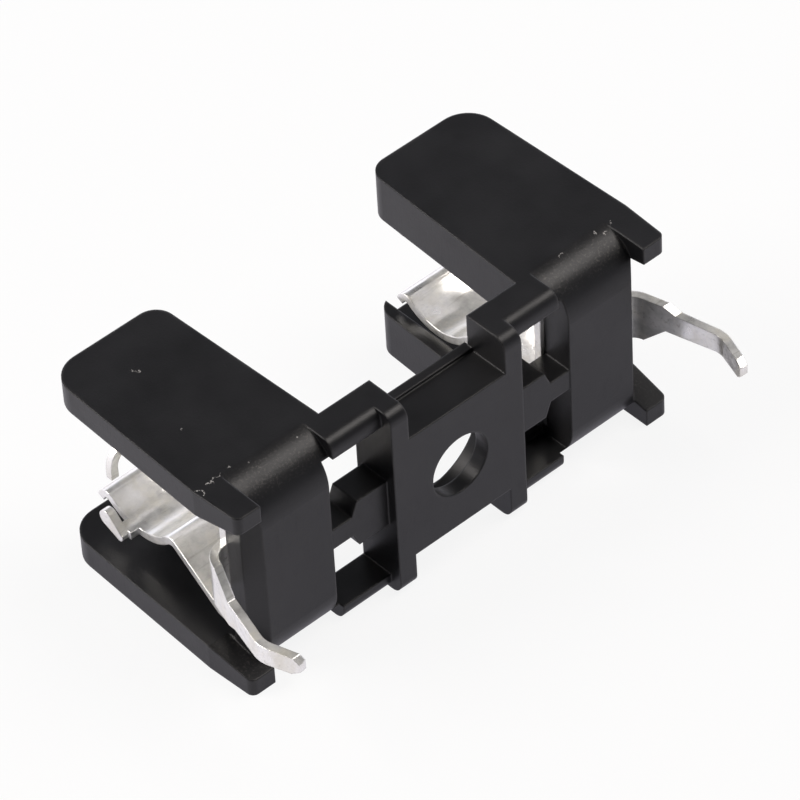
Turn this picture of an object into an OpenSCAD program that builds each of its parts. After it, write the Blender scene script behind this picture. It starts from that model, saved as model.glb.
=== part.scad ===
// Open fuse block for a 5 x 20 mm cartridge fuse, soldered to a board.
// One moulded base with two U-shaped towers on a screw bridge, and two
// stamped spring contacts, each with a kinked solder tail.
// Frame: X runs along the fuse, Z up from the board, origin in the middle
// of the screw hole on the board plane.

/* [Fuse] */
// diameter of the fuse's end caps
cap_d = 5.2; // [4.8:0.1:6.4]
// height of the fuse axis above the board
fuse_z = 9.0; // [8.4:0.1:9.4]
// how much smaller the resting spring cup is than the cap, on the radius
grip = 0.05; // [0:0.01:0.1]

/* [Base] */
// overall length across the tower ends
base_len = 25; // [24.4:0.1:28]
// overall width across the arms
base_w = 10.68; // [10:0.02:12]
// height of the arms above the board
tower_h = 12.4; // [12:0.1:14]
// half length of the open gap between the towers, at their tops
tower_in = 6.1; // [5.9:0.05:6.3]
// draft of each tower end over its height
end_draft = 0.28; // [0.1:0.02:0.5]
// draft of each tower's inner end over its height
inner_draft = 0.42; // [0.2:0.02:0.5]
// height of the bend where the end draft turns back into the foot
bend_z = 2.6; // [2.3:0.1:3]
// wall thickness of an arm
arm_t = 1.36; // [1.2:0.02:1.6]
// thickness of the lip that closes each arm's inner end
lip_t = 2.42; // [2.2:0.02:2.5]
// radius of the arms' top corners at the outer ends
top_r_out = 1.5; // [0.8:0.1:2]
// radius of the arms' top corners at the inner ends
top_r_in = 1.0; // [0.5:0.1:1.4]
// radius of the long lower edges of the towers
keel_r = 2.1; // [1.2:0.1:2.1]

/* [Floor and feet] */
// height of the towers' underside above the board
floor_z = 0.46; // [0.3:0.02:0.6]
// height of the face that carries the contact
seat_z = 2.1; // [1.9:0.05:2.3]
// how far the floor stops short of the tower end
floor_inset = 1.14; // [1.0:0.02:1.3]
// rise of the chamfer under the floor's outer end
floor_cham = 0.72; // [0.4:0.02:0.9]
// length of a foot along the tower
foot_l = 1.28; // [1:0.02:1.6]
// thickness of a foot where it meets the board
foot_t = 0.9; // [0.7:0.05:1.1]
// how far a foot draws in below the bend
foot_draft = 0.17; // [0:0.01:0.3]
// radius of a foot's outer toe
toe_r = 0.35; // [0.1:0.05:0.5]

/* [Bridge] */
// screw hole, clearance for an M3 screw
hole_d = 3.2; // [3:0.1:3.4]
// recess for the screw head, from above
head_d = 5.9; // [5.6:0.1:6.2]
// thickness of plastic under the screw head
head_seat = 0.78; // [0.6:0.02:1]
// width of the bridge
bridge_w = 7.0; // [6.8:0.1:7.6]
// height of the rims along the bridge's long edges
bridge_h = 2.6; // [2.4:0.1:2.8]
// height of the bridge's deck between its rims
deck_z = 2.2; // [2:0.05:2.4]
// thickness of a rim inside the bridge's width
rim_t = 0.1; // [0.06:0.02:0.4]
// height of the ledge that stands out along the top of each rim
rim_h = 0.5; // [0.3:0.05:0.7]
// how far that ledge stands out
rim_out = 0.14; // [0.05:0.01:0.25]
// half length of the bridge between its two cross walls
bridge_half = 2.82; // [2.7:0.02:2.9]

/* [Pockets] */
// thickness of a cross wall
wall_t = 0.94; // [0.8:0.02:1.1]
// height of the cross walls and side rails
rail_top = 2.4; // [2.2:0.05:2.6]
// height of the rails' underside above the board
rail_z = 0.6; // [0.4:0.05:0.8]
// thickness of a side rail
rail_t = 0.88; // [0.7:0.02:1]
// radius of the lower outer corners of the cross walls
wall_r = 0.6; // [0.3:0.05:1]
// radius of the lower outer edges of the rails
rail_r = 0.6; // [0.3:0.05:0.8]
// length of a pocket between cross wall and tower floor
pocket_l = 3.2; // [3:0.05:3.4]
// width of the web next to the cross wall
web_w = 2.6; // [2.2:0.1:3]
// width of the web's neck next to the tower
neck_w = 1.1; // [0.8:0.1:1.6]
// height of the web's underside above the board
web_z = 0.5; // [0.4:0.02:0.7]
// height of the web's top
web_top = 2.05; // [1.9:0.05:2.1]

/* [Contact] */
// sheet thickness
sheet = 0.4; // [0.3:0.02:0.5]
// inner end of the spring arms, from the middle of the block
arm_in = 6.76; // [6.72:0.02:6.9]
// width of the spring arms along the fuse
arm_w = 4.08; // [3.6:0.02:4.2]
// angle of the cup's wrap below the fuse axis
wrap = 44; // [38:1:48]
// angle of the cup's wrap above the fuse axis
mouth_wrap = 40; // [34:1:46]
// inside radius of the waist bends
bend_r = 0.35; // [0.25:0.05:0.5]
// inside radius of the bends at the mouth
mouth_r = 0.2; // [0.15:0.05:0.4]
// length of the straight end of the mouth's lip
lip_l = 0.2; // [0.15:0.05:0.5]
// angle of that end from level
lip_a = 28; // [15:1:45]
// flare of the legs below the waist, from upright
leg_a = 17; // [12:1:20]
// inside radius of the bends between legs and base
corner_r = 0.3; // [0.2:0.05:0.4]
// overhang of the contact's base past the floor's end
base_over = 0.04; // [0:0.01:0.2]
// height over which a leg widens from the spring arm to the base
leg_taper = 3.5; // [2:0.1:3.6]
// how far the side ear stands off from the end of its spring arm
ear_off = 0.46; // [0.4:0.02:0.7]
// width of the side ear at its round tip
ear_w = 0.84; // [0.7:0.02:1]
// length of the side ear between the middles of its round ends
ear_l = 1.0; // [0.8:0.05:1.3]
// lean of the side ear from upright, towards the fuse
ear_a = 34; // [10:1:40]
// reach of the end stop that curls in behind the fuse
stop_l = 1.5; // [1.3:0.05:2.2]
// how far the end stop stands off from the end of the spring arm
stop_off = 1.0; // [0.8:0.05:1.05]
// width of the end stop's finger
stop_w = 0.34; // [0.3:0.02:0.6]

/* [Solder tail] */
// distance between the two tails at the board, middle of sheet to middle of sheet
tail_pitch = 25.7; // [25.4:0.1:26.4]
// outward lean of the tail from upright, down to its kink
tail_a = 15; // [12:1:18]
// inside radius of the tail's fold
fold_r = 0.85; // [0.6:0.05:0.95]
// width of the tail's root at the fold
root_w = 2.48; // [2:0.02:2.6]
// straight edge of the root, from the middle of the contact
root_edge = 0.68; // [0.6:0.02:0.9]
// height above the board where the root's shoulder starts
root_z = 1.4; // [1.1:0.05:1.45]
// height of that shoulder
shoulder_h = 1.1; // [0.9:0.05:1.3]
// width of the tail where it meets the board
board_w = 1.14; // [1.02:0.02:1.3]
// straight edge of the pin, from the middle of the contact
pin_edge = 0.74; // [0.5:0.02:0.9]
// width of the pin at its kink
pin_w = 1.0; // [0.8:0.05:1.1]
// depth of the pin tip under the board
pin_len = 4.3; // [3.5:0.1:5]
// depth of the kink under the board
kink_z = 2.4; // [1.8:0.1:2.8]
// how far the tip turns back in from the kink
kink_in = 0.62; // [0.3:0.02:0.8]
// radius of the kink, to the middle of the sheet
pin_bend = 1.3; // [0.8:0.1:1.6]

/* [Hidden] */
$fn = 64;
eps = 0.02;
half_w = base_w / 2;
end_x = base_len / 2;
top_x = end_x - end_draft;
foot_x = end_x - foot_draft;
inner_x = tower_in - inner_draft;
floor_x = end_x - floor_inset;
wall_x = bridge_half + wall_t;
pocket_x = wall_x + pocket_l;
room = half_w - arm_t;
lip_x = arm_in - 0.1;
keel_x = inner_x + 0.84;
cup_r = cap_d / 2 - grip;
cup_m = cup_r + sheet / 2;
bend_m = bend_r + sheet / 2;
mouth_m = mouth_r + sheet / 2;
arm_out = arm_in + arm_w;
base_x = floor_x + base_over;
plate_z = seat_z + sheet / 2;
lip_c = [(cup_m + mouth_m) * cos(mouth_wrap), fuse_z + (cup_m + mouth_m) * sin(mouth_wrap)];
waist_c = [(cup_m + bend_m) * cos(wrap), fuse_z - (cup_m + bend_m) * sin(wrap)];
leg_top = waist_c + bend_m * [-cos(leg_a), -sin(leg_a)];
corner_m = corner_r + sheet / 2;
leg_end_z = plate_z + corner_m * (1 + sin(leg_a));
leg_end = [leg_top.x + (leg_top.y - leg_end_z) * tan(leg_a), leg_end_z];
corner_c = leg_end + corner_m * [-cos(leg_a), -sin(leg_a)];
tail_x = tail_pitch / 2;
fold_m = fold_r + sheet / 2;

// A rectangle whose upper right corner is round.
module block(x0, y0, x1, y1, r) {
    translate([x0, y0]) square([x1 - x0 - r, y1 - y0]);
    translate([x0, y0]) square([x1 - x0, y1 - y0 - r]);
    translate([x1 - r, y1 - r]) intersection() {
        circle(r);
        translate([-eps, -eps]) square(r + 2 * eps);
    }
}

// Sheet folded into an L: level from x0, then round and down to y1. The
// corner of its middle line, before rounding, is at (x, y).
module folded(x0, x, y, y1, r) {
    h = sheet / 2;
    difference() {
        block(x0, y1, x + h, y + h, r + h);
        block(x0 - 1, y1 - 1, x - h, y - h, r - h);
    }
}

// Directions and mitred half widths along a bent strip of sheet.
function along(p, q) = (q - p) / norm(q - p);
function left(d) = [-d.y, d.x];
function mitre(d, e) = (left(d) + left(e)) * sheet / 2 / (1 + d * e);

// Points on the arc of radius r that rounds the corner q between p and s.
function rounded(p, q, s, r, steps) = let(
    d = along(p, q), e = along(q, s), turn = acos(d * e),
    side = d.x * e.y > d.y * e.x ? 1 : -1,
    from = q - r * tan(turn / 2) * d, middle = from + side * r * left(d)
) [for (i = [0:steps]) middle + r * (d * sin(turn * i / steps) - side * left(d) * cos(turn * i / steps))];

// Strip of sheet whose middle line runs through the points p.
module strip(p) {
    last = len(p) - 1;
    across = [for (i = [0:last])
        mitre(along(p[max(i - 1, 0)], p[max(i, 1)]), along(p[min(i, last - 1)], p[min(i + 1, last)]))];
    polygon(concat(
        [for (i = [0:last]) p[i] + across[i]],
        [for (i = [last:-1:0]) p[i] - across[i]]
    ));
}

// Side view of an arm: drafted ends and rounded top corners.
module arm_view(bottom) {
    m_in = inner_draft / (tower_h - bend_z);
    m_out = end_draft / (tower_h - bend_z);
    k_in = sqrt(1 + m_in * m_in);
    k_out = sqrt(1 + m_out * m_out);
    c_in = [tower_in + top_r_in * (k_in - m_in), tower_h - top_r_in];
    c_out = [top_x - top_r_out * (k_out - m_out), tower_h - top_r_out];
    polygon([
        [inner_x, bottom], [inner_x, bend_z],
        c_in + top_r_in / k_in * [-1, m_in], [c_in.x, tower_h],
        [c_out.x, tower_h], c_out + top_r_out / k_out * [1, m_out],
        [end_x, bend_z], [end_x - foot_draft * (bend_z - bottom) / bend_z, bottom]
    ]);
    translate(c_in) circle(top_r_in);
    translate(c_out) circle(top_r_out);
}

// Turns a side view drawn in X and Z into a plate from y0 to y1.
module side_plate(y0, y1) {
    translate([0, y1, 0]) rotate([90, 0, 0]) linear_extrude(y1 - y0) children();
}

// Turns a section drawn in Y and Z into a bar from x0 to x1.
module section_bar(x0, x1) {
    translate([x0, 0, 0]) rotate([90, 0, 90]) linear_extrude(x1 - x0) children();
}

// Section of the tower under the arms: flat underside, big round edges, and
// the channel that takes the contact.
module keel_section() {
    difference() {
        union() {
            translate([-half_w + keel_r, floor_z]) square([base_w - 2 * keel_r, bend_z - floor_z]);
            translate([-half_w, floor_z + keel_r]) square([base_w, bend_z - floor_z - keel_r + eps]);
            for (s = [-1, 1]) translate([s * (half_w - keel_r), floor_z + keel_r]) intersection() {
                circle(keel_r);
                translate([-keel_r, -keel_r]) square([2 * keel_r, keel_r + eps]);
            }
        }
        translate([-room, seat_z]) square([2 * room, bend_z]);
    }
}

// One corner foot, drawn on the side of positive Y.
module foot() {
    m = foot_draft / bend_z;
    k = sqrt(1 + m * m);
    toe = [foot_x - toe_r * (k - m), toe_r];
    intersection() {
        side_plate(0, half_w) {
            polygon([
                [foot_x - foot_l, 0], [toe.x, 0], toe + toe_r / k * [1, -m],
                [end_x, bend_z], [foot_x - foot_l, bend_z]
            ]);
            translate(toe) circle(toe_r);
        }
        section_bar(foot_x - foot_l, end_x) polygon([
            [half_w - foot_t, 0], [half_w, 0], [half_w, bend_z], [room, bend_z]
        ]);
    }
}

// Section of a cross wall, round at its lower outer corners.
module wall_section() {
    translate([-half_w, wall_r]) square([base_w, rail_top - wall_r]);
    translate([-half_w + wall_r, 0]) square([base_w - 2 * wall_r, rail_top]);
    for (s = [-1, 1]) translate([s * (half_w - wall_r), wall_r]) circle(wall_r);
}

// Web in the pocket: wide at the cross wall, a narrow neck at the tower.
module web() {
    n0 = pocket_x - pocket_l * 0.36;
    n1 = pocket_x - pocket_l * 0.46;
    translate([0, 0, web_z]) linear_extrude(web_top - web_z) polygon([
        [wall_x - eps, -web_w / 2], [n1, -web_w / 2], [n0, -neck_w / 2], [pocket_x + eps, -neck_w / 2],
        [pocket_x + eps, neck_w / 2], [n0, neck_w / 2], [n1, web_w / 2], [wall_x - eps, web_w / 2]
    ]);
}

// The tower on the side of positive X, with its pocket and cross wall.
module tower() {
    for (s = [0, 1]) mirror([0, s, 0]) {
        side_plate(room, half_w) arm_view(bend_z - eps);
        intersection() {
            side_plate(half_w - lip_t, half_w) arm_view(rail_top - eps);
            translate([inner_x - 1, 0, 0]) cube([lip_x - inner_x + 1, half_w, tower_h + 1]);
        }
        foot();
        section_bar(wall_x - eps, keel_x + eps) mirror([0, 1])
            block(half_w - rail_t, -rail_top, half_w, -rail_z, rail_r);
    }
    difference() {
        intersection() {
            section_bar(keel_x, floor_x) keel_section();
            side_plate(-half_w, half_w) polygon([
                [keel_x, 0], [floor_x - floor_cham * 0.9, 0], [floor_x - floor_cham * 0.9, floor_z],
                [floor_x, floor_z + floor_cham], [floor_x, tower_h], [keel_x, tower_h]
            ]);
        }
        translate([0, -half_w + rail_t, -1]) cube([pocket_x, base_w - 2 * rail_t, rail_top + 1]);
    }
    section_bar(bridge_half - eps, wall_x) wall_section();
    web();
}

// Bridge: a deck between two rims.
module bridge() {
    translate([-bridge_half, -bridge_w / 2, 0]) cube([2 * bridge_half, bridge_w, deck_z]);
    for (s = [0, 1]) mirror([0, s, 0]) translate([-bridge_half, bridge_w / 2 - rim_t, 0]) {
        cube([2 * bridge_half, rim_t, bridge_h]);
        translate([0, 0, bridge_h - rim_h]) cube([2 * bridge_half, rim_t + rim_out, rim_h]);
    }
}

module base() {
    color([0.07, 0.07, 0.075]) difference() {
        union() {
            bridge();
            for (a = [0, 180]) rotate([0, 0, a]) tower();
        }
        translate([0, 0, -1]) cylinder(d = hole_d, h = bridge_h + 2);
        translate([0, 0, head_seat]) cylinder(d = head_d, h = bridge_h);
    }
}

// Half of the room the spring encloses, grown by o, in Y and Z: base with
// flared legs, waist, cup and mouth. The mouth's edge runs out by mouth_l.
module enclosed(o, mouth_l) {
    cup = cup_r + o;
    hollow_r = bend_r + sheet - o;
    lip_r = mouth_r + sheet - o;
    foot_r = corner_r + o;
    low = [0, fuse_z] + cup * [cos(wrap), -sin(wrap)];
    high = [0, fuse_z] + cup * [cos(mouth_wrap), sin(mouth_wrap)];
    leg = waist_c + hollow_r * [-cos(leg_a), -sin(leg_a)];
    lip = lip_c + lip_r * [-sin(lip_a), cos(lip_a)];
    lip_end = lip + mouth_l * [cos(lip_a), sin(lip_a)];
    translate([0, fuse_z]) circle(cup);
    translate(corner_c) circle(foot_r);
    polygon([
        [-0.1, corner_c.y - foot_r], [corner_c.x, corner_c.y - foot_r],
        corner_c + foot_r * [cos(leg_a), sin(leg_a)], leg, [-0.1, leg.y]
    ]);
    difference() {
        polygon([[-0.1, leg.y - 0.5], [leg.x, leg.y - 0.5], leg, waist_c, low, [-0.1, low.y]]);
        translate(waist_c) circle(hollow_r);
    }
    difference() {
        polygon([
            [-0.1, high.y], high, lip_c, lip, lip_end, lip_end + 2 * [-sin(lip_a), cos(lip_a)], [-0.1, lip_end.y + 2]
        ]);
        translate(lip_c) circle(lip_r);
    }
}

// Section of the spring: what lies between its two faces.
module spring_section() {
    difference() {
        for (s = [0, 1]) mirror([s, 0]) enclosed(sheet, lip_l);
        for (s = [0, 1]) mirror([s, 0]) enclosed(0, lip_l + 1);
    }
}

// Side view of what is cut from the spring so that the arms end short of
// the base and the legs widen below them.
module arm_trim() {
    z = waist_c.y - sheet / 4;
    polygon([
        [arm_out, z], [base_x, z - leg_taper], [base_x + 1, z - leg_taper],
        [base_x + 1, tower_h + 1], [arm_out, tower_h + 1]
    ]);
}

// Side ear: a root that runs on from the end of the spring arm, and a finger
// with a round tip that points up and in, past the end of the fuse.
module ear() {
    root_r = ear_w * 0.25;
    root = [cup_m, fuse_z + ear_w * 0.32];
    across = [cos(ear_a), sin(ear_a)];
    far = root + ear_l * [-sin(ear_a), cos(ear_a)];
    section_bar(arm_out, arm_out + ear_off) intersection() {
        difference() {
            translate([0, fuse_z]) circle(cup_r + sheet);
            translate([0, fuse_z]) circle(cup_r);
        }
        translate([0, root.y - root_r * 1.5]) square([2 * cap_d, root_r * 3.4]);
    }
    section_bar(arm_out + ear_off, arm_out + ear_off + sheet) {
        translate(root) circle(root_r);
        translate(far) circle(ear_w / 2);
        polygon([
            root + root_r * across, far + ear_w / 2 * across,
            far - ear_w / 2 * across, root - root_r * across
        ]);
    }
}

// End stop on one spring arm: a narrow finger that curls in behind the fuse.
module end_stop() {
    translate([0, 0, fuse_z - stop_w * 0.4]) linear_extrude(stop_w)
        folded(arm_out, arm_out + stop_off, cup_m, cup_m - stop_l, stop_off - eps);
}

// Outline of the tail seen along X: wide root, a shoulder on one side, then
// the pin, straight on that side and tapering on the other.
module tail_view() {
    z0 = plate_z + sheet;
    side = root_edge - root_w;
    edge = -pin_edge;
    polygon([
        [root_edge, z0], [side, z0], [side, root_z], [edge, root_z - shoulder_h],
        [edge, -pin_len + pin_w * 0.3], [edge + pin_w * 0.25, -pin_len], [edge + pin_w * 0.7, -pin_len],
        [edge + pin_w * 0.95, -pin_len + pin_w * 0.4], [edge + pin_w, -kink_z],
        [edge + board_w, -sheet / 2], [root_edge, sheet]
    ]);
}

// Path of the tail's sheet in X and Z: off the base, round the fold, out to
// the kink and back in.
module tail_path() {
    start = [base_x - 1, plate_z];
    fold = [tail_x - plate_z * tan(tail_a), plate_z];
    kink = [tail_x + kink_z * tan(tail_a), -kink_z];
    tip = [kink.x - kink_in, -pin_len];
    strip(concat(
        [start], rounded(start, fold, kink, fold_m, 16), rounded(fold, kink, tip, pin_bend, 8), [tip]
    ));
}

// The contact on the side of positive X.
module contact() {
    color([0.83, 0.82, 0.8]) {
        difference() {
            section_bar(arm_in, base_x) spring_section();
            side_plate(-half_w, half_w) arm_trim();
        }
        mirror([0, 1, 0]) ear();
        end_stop();
        intersection() {
            side_plate(-half_w, half_w) tail_path();
            section_bar(0, 2 * tail_x) mirror([1, 0]) tail_view();
        }
    }
}

module clip_right() {
    contact();
}

module clip_left() {
    rotate([0, 0, 180]) contact();
}

base();
clip_left();
clip_right();
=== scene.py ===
"""Looks of an open fuse block for a circuit board: satin black moulding, plated spring clips."""
from math import radians

import bpy
from mathutils import Euler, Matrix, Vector


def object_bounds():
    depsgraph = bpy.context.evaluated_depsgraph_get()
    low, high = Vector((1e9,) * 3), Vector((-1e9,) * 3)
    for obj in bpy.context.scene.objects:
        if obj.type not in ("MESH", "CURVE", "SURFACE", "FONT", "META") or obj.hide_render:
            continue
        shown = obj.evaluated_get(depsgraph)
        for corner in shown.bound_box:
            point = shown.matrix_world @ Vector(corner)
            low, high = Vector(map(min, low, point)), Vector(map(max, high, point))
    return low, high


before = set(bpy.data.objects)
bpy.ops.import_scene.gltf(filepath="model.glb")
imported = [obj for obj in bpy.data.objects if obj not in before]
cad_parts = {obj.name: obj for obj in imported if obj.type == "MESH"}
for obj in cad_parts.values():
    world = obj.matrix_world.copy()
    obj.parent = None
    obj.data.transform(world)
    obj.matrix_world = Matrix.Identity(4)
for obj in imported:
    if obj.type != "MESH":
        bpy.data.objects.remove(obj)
cad_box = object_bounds()

# One millimetre in the frame's metres
MM = 0.001

# The camera of the photo: place in metres, turn in degrees, lens and sensor in mm. The block lies on
# its +Y side there, so the floor is an upright plane behind it and the picture's "up" is mostly -Y.
CAMERA_PLACE = (-0.110182, -0.167694, -0.127872)
CAMERA_TURN = (138.1392, 42.3233, 3.4164)
CAMERA_LENS = 249.176
CAMERA_SENSOR = 36.0
CAMERA_CLIP = (0.005, 10.0)
UP = (0, -1, 0)
# Level, and away from the camera
FAR = (0.641, 0, 0.767)

# Spans in which nearly all and most values of smooth noise lie
NOISE_SPAN = (0.3, 0.7)
NOISE_CORE = (0.35, 0.65)

# Colours of the black plastic, and colour and strength of what lies over it
BLACK_DEEP = (0.0050, 0.0050, 0.0057, 1)
BLACK_PALE = (0.0072, 0.0072, 0.0082, 1)
# Lighter edges: painted edge highlight, with some real rubbing
RUB_AND_EDGE_HIGHLIGHT = ((0.05, 0.048, 0.046, 1), 0.3)
# Pale grain on the towers' round edges: scuffs, and painted glints where the highlight falls
SCUFFS_AND_GLINTS = ((0.133, 0.123, 0.113, 1), 0.5)
DUST = ((0.52, 0.51, 0.49, 1), 0.75)

# Gloss of the black plastic, and the radii to which its edges are rounded, and are rubbed and painted
# lighter as a highlight
PLASTIC_SPECULAR = 0.39
PLASTIC_IOR = 1.5
SATIN_ROUGHNESS = (0.34, 0.42)
FLOW_ROUGHNESS = (0.0, 0.1)
DUST_ROUGHNESS = 0.3
PLASTIC_EDGE = 0.12 * MM
RUB_AND_HIGHLIGHT_WIDTH = 0.28 * MM
# Cosine of the turn at which an edge starts to look rubbed and painted lighter as a highlight, and at
# which it is fully so
RUB_AND_HIGHLIGHT_TURN = (0.995, 0.93)
# Flow marks along X, Y and Z, in features per metre
FLOW_MARKS = (2500.0, 900.0, 14000.0)

# The towers' round edges: how far the normal points to the board and sideways where the coarse grain
# fades in, and the distance from the middle of the block at which the edges start.
KEEL_DOWN = (0.05, 0.34)
KEEL_SIDE = (0.55, 0.80)
KEEL_START = (6.4 * MM, 6.8 * MM)

# Specks of dust: cells per metre, the share of cells left empty, and the size within a cell
SPECK_CELLS = 420.0
SPECK_CHOICE = (0.88, 0.89)
SPECK_SIZE = (0.022, 0.012)

# Pale marks on the tower sides that lie up in the photo: start and end (X, Z) and width, in mm
SCRATCHES = (
    ((-12.42, 2.10), (-12.20, 2.22), 0.05),
    ((-12.20, 2.22), (-12.16, 2.42), 0.05),
    ((-12.42, 2.52), (-12.16, 2.42), 0.05),
    ((-11.80, 2.50), (-11.30, 2.58), 0.05),
    ((-11.52, 2.40), (-11.36, 2.68), 0.06),
    ((-11.25, 2.56), (-10.90, 2.62), 0.04),
    ((-10.46, 2.67), (-10.40, 2.69), 0.12),
    ((-9.70, 2.32), (-9.68, 2.33), 0.10),
    ((-10.43, 5.75), (-10.42, 5.76), 0.10),
    ((-9.56, 9.98), (-9.50, 9.72), 0.06),
    ((-9.50, 9.72), (-9.34, 9.70), 0.06),
    ((8.16, 2.26), (8.46, 2.33), 0.06),
    ((10.30, 2.26), (10.34, 2.28), 0.10),
    ((10.66, 2.02), (10.70, 2.03), 0.10),
    ((11.28, 2.25), (11.36, 2.40), 0.06),
)
# Where a mark has faded out and where it is full, in widths from its middle line
SCRATCH_FADE = (0.6, 0.2)
# The widest swing of the marks as they wander, and the stretch in Y over which they fade in
SCRATCH_WANDER = 0.5 * MM
SCRATCH_DEPTH = (-5.0 * MM, -5.2 * MM)

# Colours of the plated sheet
PLATE_CLEAN = (0.97, 0.97, 0.955, 1)
PLATE_WARM = (0.94, 0.935, 0.90, 1)
PLATE_STAIN = (0.80, 0.78, 0.70, 1)
PLATE_STREAK = (0.50, 0.485, 0.43, 1)
PLATE_TARNISH = (0.58, 0.565, 0.49, 1)
PLATE_NICK = (0.36, 0.34, 0.31, 1)

# Gloss of the plated sheet: roughness where it is bright and dull, and the share of dull plate
BRIGHT_ROUGHNESS = (0.10, 0.20)
DULL_ROUGHNESS = 0.68
DULL_SHARE = (0.25, 0.58)
STAIN_DULLS = 0.25
PLATE_EDGE = 0.08 * MM
# Marks drawn out along the sheet: X, Y and Z scales, in features per metre, and as factors for stains
DRAW_LINES = (1200.0, 16000.0, 16000.0)
NICKS = (900.0, 3000.0, 6500.0)
STREAKS = (260.0, 3800.0, 3800.0)
STAIN_STRETCH = (1.0, 0.7, 1.6)

# The floor: its gap to the block and its reach in metres, and its colours
FLOOR_GAP = 0.02 * MM
FLOOR_REACH = 1.5
FLOOR_PAPER = (0.9, 0.9, 0.9, 1)
FLOOR_MIRRORED = (0.91, 0.885, 1.0, 1)

# The share of plain white that the floor and the backdrop show to the camera, and in mirrors
WHITE = (1, 1, 1, 1)
FLOOR_WHITE = (0.88, 0.56)
BACKDROP_WHITE = (1.0, 0.08)

# The room's light: colour, strength low down on the near and far side, and strength overhead, which
# is added all round
ROOM_COLOUR = (0.90, 0.90, 1.0, 1)
ROOM_LEVELS = (0.15, 1.6)
CEILING_LEVEL = 0.03
# Where the far side fades in along FAR, and where the room fades out along UP
FAR_FADE = (-0.35, 0.25)
CEILING_FADE = (0.54, 0.22)

# Round soft lamps: place and width in metres, power in watts. They aim at one point in the block.
LAMPS = {
    "overhead": ((0.21, -0.40, -0.09), 0.30, 1.1),
    "side": ((-0.30, -0.30, 0.25), 0.30, 1.8),
}
LAMP_COLOUR = (1.0, 0.95, 0.92)
LAMP_AIM = (0, 0, 5 * MM)


class Nodes:
    """The node tree of a material or world, with short calls to add nodes and links."""

    def __init__(self, owner, output):
        owner.use_nodes = True
        self.owner = owner
        self.tree = owner.node_tree
        self.tree.nodes.clear()
        self.out = self.add(output)

    def put(self, socket, value):
        """Link a socket to another one, or set its own value."""
        if isinstance(value, bpy.types.NodeSocket):
            self.tree.links.new(value, socket)
        else:
            socket.default_value = value

    def add(self, kind, inputs=None, **settings):
        """A new node with these settings and inputs."""
        node = self.tree.nodes.new("ShaderNode" + kind)
        for key, value in settings.items():
            setattr(node, key, value)
        for key, value in (inputs or {}).items():
            self.put(node.inputs[key], value)
        return node

    def surface(self, shader):
        """Show this shader."""
        self.tree.links.new(shader.outputs[0], self.out.inputs["Surface"])

    def mix_shaders(self, share, first, second):
        """The first shader, with a share of the second in its place."""
        return self.add("MixShader", {0: share, 1: first.outputs[0], 2: second.outputs[0]})

    def place(self):
        """The object's own coordinates, in metres."""
        return self.add("TexCoord").outputs["Object"]

    def stretched(self, scale):
        """The object's own coordinates, scaled along each axis."""
        return self.add("Mapping", {"Vector": self.place(), "Scale": scale}).outputs["Vector"]

    def noise(self, scale, detail, roughness=0.55, vector=None):
        """Smooth noise, in features per metre."""
        vector = self.place() if vector is None else vector
        inputs = {"Vector": vector, "Scale": scale, "Detail": detail, "Roughness": roughness}
        return self.add("TexNoise", inputs).outputs["Fac"]

    def drawn_noise(self, scales, detail, roughness):
        """Smooth noise with its own scale along each axis, in features per metre."""
        return self.noise(1.0, detail, roughness, self.stretched(scales))

    def ramp(self, value, span, levels=(0.0, 1.0)):
        """The value carried over from a span to two levels, and held at them outside it."""
        return self.add("MapRange", {
            "Value": value,
            "From Min": span[0], "From Max": span[1],
            "To Min": levels[0], "To Max": levels[1],
        }).outputs["Result"]

    def math(self, operation, a, b=0.0):
        return self.add("Math", {0: a, 1: b}, operation=operation).outputs[0]

    def times(self, a, b):
        return self.math("MULTIPLY", a, b)

    def plus(self, a, b):
        return self.math("ADD", a, b)

    def larger(self, a, b):
        return self.math("MAXIMUM", a, b)

    def vector(self, operation, a, b):
        """Vector arithmetic on two vectors, or on a vector and a number to scale it by."""
        second = "Scale" if operation == "SCALE" else 1
        return self.add("VectorMath", {0: a, second: b}, operation=operation).outputs[0]

    def dot(self, a, b):
        return self.add("VectorMath", {0: a, 1: b}, operation="DOT_PRODUCT").outputs["Value"]

    def distance(self, a, b):
        return self.add("VectorMath", {0: a, 1: b}, operation="DISTANCE").outputs["Value"]

    def split(self, vector):
        return self.add("SeparateXYZ", {"Vector": vector}).outputs

    def mix_color(self, share, a, b):
        """Colour a, with a share of colour b in its place. Sockets 6, 7 and 2 are the node's colours."""
        return self.add("Mix", {0: share, 6: a, 7: b}, data_type="RGBA").outputs[2]

    def rounded(self, radius, samples=6):
        """The surface's normal, with its edges rounded to this radius."""
        return self.add("Bevel", {"Radius": radius}, samples=samples).outputs["Normal"]

    def bump(self, normal, height, strength, distance):
        """The normal, tilted by a relief of this height."""
        inputs = {"Height": height, "Strength": strength, "Distance": distance, "Normal": normal}
        return self.add("Bump", inputs).outputs["Normal"]

    def mirrored_ray(self):
        """1 where the surface is seen in a mirror or through glass, 0 elsewhere."""
        path = self.add("LightPath").outputs
        return self.larger(path["Is Glossy Ray"], path["Is Transmission Ray"])

    def white_share(self, to_camera, in_mirrors):
        """The share of plain white that shows, one for the camera and one for mirrors."""
        seen = self.times(self.add("LightPath").outputs["Is Camera Ray"], to_camera)
        return self.larger(seen, self.times(self.mirrored_ray(), in_mirrors))


def new_material(name):
    return Nodes(bpy.data.materials.new(name), "OutputMaterial")


def edge_wear_and_highlight(m):
    """1 where the surface turns sharply outward or inward, 0 on flats."""
    soft = m.rounded(RUB_AND_HIGHLIGHT_WIDTH, samples=8)
    return m.ramp(m.dot(soft, m.add("NewGeometry").outputs["Normal"]), RUB_AND_HIGHLIGHT_TURN)


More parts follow.
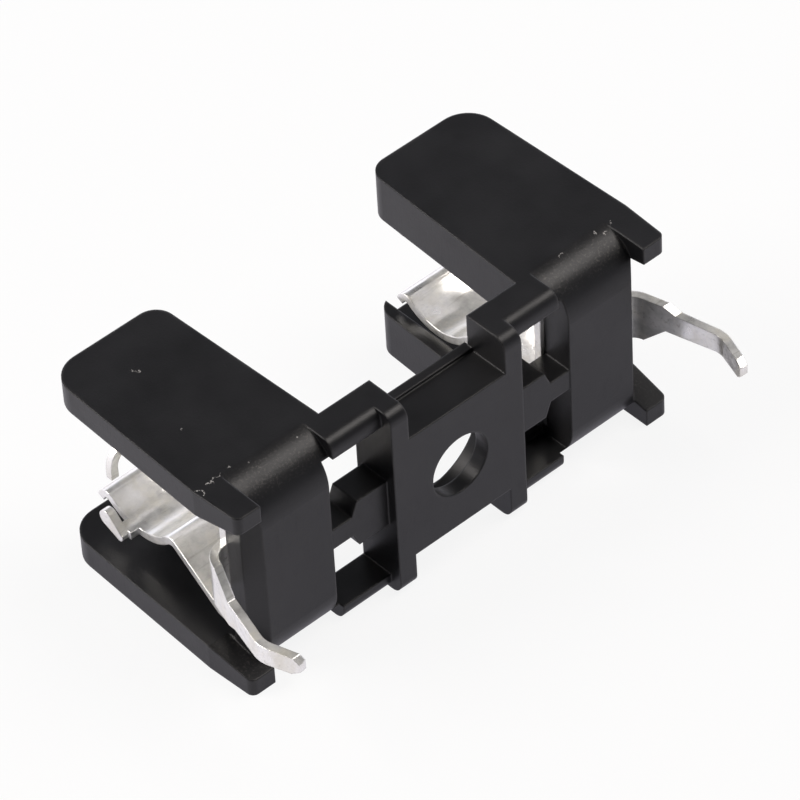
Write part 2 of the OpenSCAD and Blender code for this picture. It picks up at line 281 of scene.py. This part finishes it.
def keel_mask(m):
    """1 on the half of the towers' round edges next to their sides, where the grain is coarse and the
    scuffs carry painted glints.
    """
    normal = m.split(m.add("TexCoord").outputs["Normal"])
    side = m.math("ABSOLUTE", normal["Y"])
    down = m.times(normal["Z"], -1.0)
    band = m.times(m.ramp(down, KEEL_DOWN), m.ramp(side, KEEL_SIDE))
    along = m.math("ABSOLUTE", m.split(m.place())["X"])
    return m.times(band, m.ramp(along, KEEL_START))


def stroke(m, place, start, end, width):
    """1 on a hair-thin line in the XZ plane, given in millimetres, 0 away from it."""
    start = Vector((start[0], 0, start[1])) * MM
    span = Vector((end[0], 0, end[1])) * MM - start
    offset = m.vector("SUBTRACT", place, start)
    share = m.ramp(m.dot(offset, span), (0.0, span.length_squared))
    foot = m.vector("SCALE", span, share)
    return m.ramp(m.distance(offset, foot), [width * MM * fade for fade in SCRATCH_FADE])


def speck_mask(m):
    """Sparse specks of dust."""
    cells = m.add("TexVoronoi", {"Vector": m.place(), "Scale": SPECK_CELLS, "Randomness": 1.0}).outputs
    chosen = m.ramp(m.split(cells["Color"])["X"], SPECK_CHOICE)
    return m.times(m.ramp(cells["Distance"], SPECK_SIZE), chosen)


def scratch_mask(m):
    """The small pale scratches of the tower sides that lie up in the photo, wandering and broken."""
    shake = m.add("TexNoise", {"Vector": m.place(), "Scale": 5000.0, "Detail": 3.0}).outputs["Color"]
    shake = m.vector("SCALE", m.vector("SUBTRACT", shake, (0.5, 0.5, 0.5)), SCRATCH_WANDER)
    flat = m.vector("MULTIPLY", m.vector("ADD", m.place(), shake), (1, 0, 1))
    marks = 0.0
    for start, end, width in SCRATCHES:
        marks = m.larger(marks, stroke(m, flat, start, end, width))
    broken = m.ramp(m.noise(scale=12000.0, detail=2.0), (0.42, 0.56), (0.1, 1.0))
    upper = m.ramp(m.split(m.place())["Y"], SCRATCH_DEPTH)
    return m.times(m.times(marks, broken), upper)


def black_plastic():
    """Satin black thermoplastic: fine grain, faint flow marks, sparkling grain on the round edges, edges
    painted lighter as highlight and rubbing, and scuffs with painted glints on the round edges.
    """
    m = new_material("black_plastic")
    grain = m.noise(scale=9000.0, detail=3.0)
    mottle = m.noise(scale=450.0, detail=5.0)
    sparkle = m.noise(scale=8500.0, detail=2.0, roughness=0.7)
    clouds = m.noise(scale=900.0, detail=3.0)
    flow = m.drawn_noise(FLOW_MARKS, detail=4.0, roughness=0.7)

    keel = keel_mask(m)
    dust = m.larger(speck_mask(m), scratch_mask(m))
    # Edges painted lighter as a highlight, with some rubbing
    rub_and_highlight = m.times(edge_wear_and_highlight(m), m.ramp(mottle, (0.42, 0.62)))
    # Pale speckles on the round edges: scuffs, and painted glints of the highlight
    speckled_scuff_and_glint = m.times(m.ramp(sparkle, (0.52, 0.70)), m.ramp(clouds, NOISE_CORE, (0.35, 1.0)))
    keel_scuff_and_glint = m.times(keel, speckled_scuff_and_glint)

    colour = m.mix_color(mottle, BLACK_DEEP, BLACK_PALE)
    for mask, (tint, strength) in ((rub_and_highlight, RUB_AND_EDGE_HIGHLIGHT), (keel_scuff_and_glint, SCUFFS_AND_GLINTS), (dust, DUST)):
        colour = m.mix_color(m.times(mask, strength), colour, tint)

    rough = m.ramp(mottle, NOISE_SPAN, SATIN_ROUGHNESS)
    rough = m.plus(rough, m.ramp(flow, (0.55, 0.8), FLOW_ROUGHNESS))
    rough = m.plus(rough, m.times(dust, DUST_ROUGHNESS))

    normal = m.bump(m.rounded(PLASTIC_EDGE), grain, strength=0.10, distance=0.04 * MM)
    normal = m.bump(normal, flow, strength=0.05, distance=0.05 * MM)
    normal = m.bump(normal, m.times(sparkle, keel), strength=0.22, distance=0.04 * MM)
    m.surface(m.add("BsdfPrincipled", {
        "Base Color": colour, "Roughness": rough, "Normal": normal,
        "Specular IOR Level": PLASTIC_SPECULAR, "IOR": PLASTIC_IOR,
    }))
    return m.owner


def plated_sheet():
    """Bright plate on rolled copper alloy: slight waviness, faint draw lines, dull stains."""
    m = new_material("plated_sheet")
    mottle = m.noise(scale=700.0, detail=6.0, roughness=0.62)
    patches = m.noise(scale=260.0, detail=3.0)
    pitting = m.noise(scale=15000.0, detail=2.0)
    stains = m.noise(scale=620.0, detail=6.0, roughness=0.65, vector=m.stretched(STAIN_STRETCH))
    lines = m.drawn_noise(DRAW_LINES, detail=3.0, roughness=0.6)
    streaks = m.drawn_noise(STREAKS, detail=3.0, roughness=0.6)
    nicks = m.drawn_noise(NICKS, detail=5.0, roughness=0.7)

    stain = m.ramp(stains, (0.47, 0.66), (0.0, 0.8))
    streak = m.ramp(streaks, (0.60, 0.70), (0.0, 0.5))
    tarnish = m.ramp(mottle, (0.6, 0.8), (0.0, 0.35))
    nick = m.ramp(nicks, (0.66, 0.74), (0.0, 0.5))
    layers = ((stain, PLATE_STAIN), (streak, PLATE_STREAK), (tarnish, PLATE_TARNISH), (nick, PLATE_NICK))
    colour = m.mix_color(m.ramp(patches, NOISE_CORE), PLATE_CLEAN, PLATE_WARM)
    for share, tint in layers:
        colour = m.mix_color(share, colour, tint)

    normal = m.bump(m.rounded(PLATE_EDGE), lines, strength=0.06, distance=0.03 * MM)
    normal = m.bump(normal, pitting, strength=0.10, distance=0.03 * MM)
    normal = m.bump(normal, patches, strength=0.22, distance=0.3 * MM)

    bright_rough = m.ramp(mottle, NOISE_SPAN, BRIGHT_ROUGHNESS)
    bright, dull = (
        m.add("BsdfPrincipled", {
            "Base Color": colour, "Roughness": rough, "Normal": normal, "Metallic": 1.0,
        })
        for rough in (bright_rough, DULL_ROUGHNESS)
    )
    haze = m.plus(m.ramp(mottle, NOISE_CORE, DULL_SHARE), m.times(stain, STAIN_DULLS))
    m.surface(m.mix_shaders(haze, bright, dull))
    return m.owner


def floor_material():
    """Plain white floor that can't be seen from behind."""
    m = new_material("floor")
    tint = m.mix_color(m.mirrored_ray(), WHITE, FLOOR_MIRRORED)
    glow = m.add("Emission", {"Color": tint, "Strength": 1.0})
    paper = m.add("BsdfDiffuse", {"Color": FLOOR_PAPER})
    front = m.mix_shaders(m.white_share(*FLOOR_WHITE), paper, glow)
    back = m.add("NewGeometry").outputs["Backfacing"]
    m.surface(m.mix_shaders(back, front, m.add("BsdfTransparent")))
    return m.owner


def studio_world():
    """Pale backdrop behind the object, dim room above it and on the near side."""
    m = Nodes(bpy.data.worlds.new("studio"), "OutputWorld")
    way = m.add("TexCoord").outputs["Generated"]
    far_side = m.ramp(m.dot(way, FAR), FAR_FADE)
    low = m.ramp(m.dot(way, UP), CEILING_FADE)
    level = m.plus(m.times(low, m.ramp(far_side, (0.0, 1.0), ROOM_LEVELS)), CEILING_LEVEL)
    room = m.add("Background", {"Color": ROOM_COLOUR, "Strength": level})
    white = m.add("Background", {"Color": WHITE, "Strength": 1.0})
    m.surface(m.mix_shaders(m.white_share(*BACKDROP_WHITE), room, white))
    return m.owner


def add_object(name, data):
    """A new object in the scene that holds this mesh, lamp or camera."""
    thing = bpy.data.objects.new(name, data)
    bpy.context.scene.collection.objects.link(thing)
    return thing


def dress_nodes():
    plastic = black_plastic()
    plate = plated_sheet()
    for name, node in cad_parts.items():
        node.data.materials.clear()
        node.data.materials.append(plastic if name == "base" else plate)


def make_floor():
    height = cad_box[1][1] + FLOOR_GAP
    signs = ((-1, -1), (1, -1), (1, 1), (-1, 1))
    corners = [(x * FLOOR_REACH, height, z * FLOOR_REACH) for x, z in signs]
    mesh = bpy.data.meshes.new("floor")
    mesh.from_pydata(corners, [], [(0, 1, 2, 3)])
    mesh.materials.append(floor_material())
    floor = add_object("floor", mesh)


def light_scene():
    for name, (place, width, power) in LAMPS.items():
        data = bpy.data.lights.new(name, "AREA")
        data.color = LAMP_COLOUR
        data.shape = "DISK"
        data.size = width
        data.energy = power
        lamp = add_object(name, data)
        lamp.location = place
        aim = Vector(LAMP_AIM) - Vector(place)
        lamp.rotation_euler = aim.to_track_quat("-Z", "Y").to_euler()
    bpy.context.scene.world = studio_world()


def make_camera():
    data = bpy.data.cameras.new("camera")
    data.sensor_width = CAMERA_SENSOR
    data.lens = CAMERA_LENS
    data.clip_start, data.clip_end = CAMERA_CLIP
    camera = add_object("camera", data)
    camera.location = CAMERA_PLACE
    camera.rotation_euler = Euler([radians(angle) for angle in CAMERA_TURN])
    bpy.context.scene.camera = camera


bpy.context.scene.view_settings.view_transform = "Standard"
dress_nodes()
make_floor()
light_scene()
make_camera()
